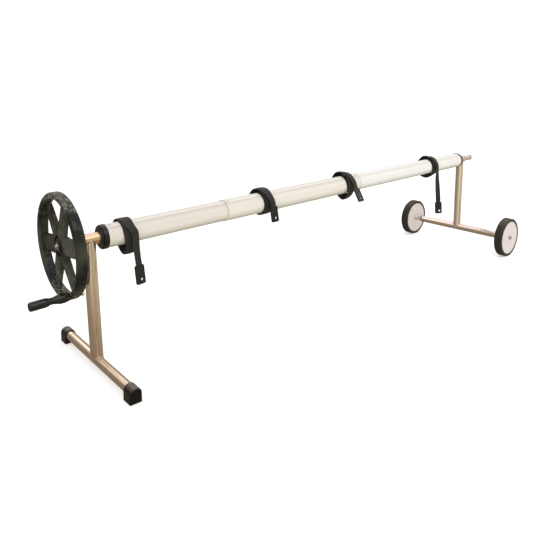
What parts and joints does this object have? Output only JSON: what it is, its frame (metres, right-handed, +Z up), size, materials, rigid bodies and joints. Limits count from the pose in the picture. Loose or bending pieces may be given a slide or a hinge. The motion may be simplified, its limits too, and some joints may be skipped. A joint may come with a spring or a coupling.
{
  "type": "pool cover reel",
  "caption": "Telescopic pool cover reel: cream tube with webbing straps between a T-shaped foot stand with a handwheel and a T-shaped stand on wheels.",
  "frame": {"origin": "on the floor, under the middle of the whole reel's box", "axes": "+X along the reel from the handwheel to the wheels, +Y across it to the back, +Z up"},
  "size_m": [2.5472, 0.65, 0.5886],
  "materials": {
    "stainless": "polished stainless tube with warm reflections",
    "zinc_steel": "zinc-plated steel",
    "tube_aluminium": "satin anodised aluminium, off-white",
    "black_rubber": "matt moulded rubber",
    "tyre_rubber": "ribbed rubber tread",
    "black_plastic": "moulded, satin",
    "gloss_black": "glossy moulded",
    "grip_plastic": "satin to glossy",
    "white_plastic": "moulded, cream white",
    "grey_plastic": "moulded",
    "black_webbing": "woven polypropylene webbing"
  },
  "bodies": {
    "foot_stand": {"foot_tube": "stainless", "foot_post": "stainless", "foot_head_sleeve": "stainless", "foot_bush_outer": "grey_plastic", "foot_bush_inner": "grey_plastic", "foot_cap_front": "black_rubber", "foot_cap_back": "black_rubber"},
    "reel_near": {"near_spindle": "zinc_steel", "near_end_plug": "black_plastic", "near_tube": "tube_aluminium", "near_plug_screws": "zinc_steel", "handwheel": "gloss_black", "handwheel_bolt": "zinc_steel", "crank_pin": "zinc_steel", "crank_nut": "zinc_steel", "strap_band_1": "black_webbing"},
    "crank": {"crank_grip": "grip_plastic"},
    "reel_middle": {"middle_tube": "tube_aluminium", "collar_near": "grey_plastic", "collar_far": "grey_plastic", "lock_screws": "zinc_steel", "strap_band_2": "black_webbing", "strap_band_3": "black_webbing"},
    "reel_far": {"far_tube": "tube_aluminium", "far_end_plug": "black_plastic", "far_plug_screws": "zinc_steel", "far_spindle": "zinc_steel", "far_cross_pin": "zinc_steel", "far_spindle_cap": "grey_plastic", "strap_band_4": "black_webbing"},
    "wheel_stand": {"axle_tube": "stainless", "wheel_post": "stainless", "wheel_head_sleeve": "stainless", "wheel_stand_bush_inner": "grey_plastic", "wheel_stand_bush_outer": "grey_plastic", "axle_rod": "zinc_steel", "axle_plug_front": "zinc_steel", "axle_spacer_front": "zinc_steel", "axle_cap_front": "grey_plastic", "axle_plug_back": "zinc_steel", "axle_spacer_back": "zinc_steel", "axle_cap_back": "grey_plastic"},
    "wheel_front": {"tyre_front": "tyre_rubber", "wheel_disc_front": "white_plastic", "wheel_bush_front": "grey_plastic"},
    "wheel_back": {"tyre_back": "tyre_rubber", "wheel_disc_back": "white_plastic", "wheel_bush_back": "grey_plastic"},
    "tail_1": {"strap_tail_1": "black_webbing", "strap_clip_1": "black_plastic"},
    "tail_2": {"strap_tail_2": "black_webbing", "strap_clip_2": "black_plastic"},
    "tail_3": {"strap_tail_3": "black_webbing", "strap_clip_3": "black_plastic"},
    "tail_4": {"strap_tail_4": "black_webbing", "strap_clip_4": "black_plastic"}
  },
  "joints": [
    {"name": "reel_spin", "type": "hinge", "parent": "foot_stand", "child": "reel_near", "pos_m": [-1.06271, 0, 0.42827], "axis": [0.9994, 0, 0.034], "continuous": true},
    {"name": "width_slide", "type": "slide", "parent": "foot_stand", "child": "wheel_stand", "axis": [0.9994, 0, 0.034], "range_m": [-0.12, 0.36]},
    {"name": "middle_slide", "type": "slide", "parent": "reel_near", "child": "reel_middle", "axis": [0.9994, 0, 0.034], "range_m": [-0.06, 0.18]},
    {"name": "far_slide", "type": "slide", "parent": "reel_middle", "child": "reel_far", "axis": [0.9994, 0, 0.034], "range_m": [-0.06, 0.18]},
    {"name": "crank_grip_spin", "type": "hinge", "parent": "reel_near", "child": "crank", "pos_m": [-1.16029, -0.08333, 0.29656], "axis": [0.9994, 0, 0.034], "continuous": true},
    {"name": "wheel_front_spin", "type": "hinge", "parent": "wheel_stand", "child": "wheel_front", "pos_m": [1.16961, -0.316, 0.104], "axis": [0, 1, 0], "continuous": true},
    {"name": "wheel_back_spin", "type": "hinge", "parent": "wheel_stand", "child": "wheel_back", "pos_m": [1.16961, 0.316, 0.104], "axis": [0, 1, 0], "continuous": true},
    {"name": "strap_swing_1", "type": "hinge", "parent": "reel_near", "child": "tail_1", "pos_m": [-0.92929, -0.047, 0.43281], "axis": [0.9994, 0, 0.034], "range_deg": [-70, 8]},
    {"name": "strap_swing_2", "type": "hinge", "parent": "reel_middle", "child": "tail_2", "pos_m": [-0.34563, -0.055, 0.45267], "axis": [0.9994, 0, 0.034], "range_deg": [-70, 10]},
    {"name": "strap_swing_3", "type": "hinge", "parent": "reel_middle", "child": "tail_3", "pos_m": [0.14809, -0.055, 0.46947], "axis": [0.9994, 0, 0.034], "range_deg": [-40, 30]},
    {"name": "strap_swing_4", "type": "hinge", "parent": "reel_far", "child": "tail_4", "pos_m": [0.83669, -0.049, 0.4929], "axis": [0.9994, 0, 0.034], "range_deg": [-70, 4]}
  ],
  "couplings": [
    {"joint": "middle_slide", "follows": "width_slide", "ratio": 0.5},
    {"joint": "far_slide", "follows": "width_slide", "ratio": 0.5}
  ]
}
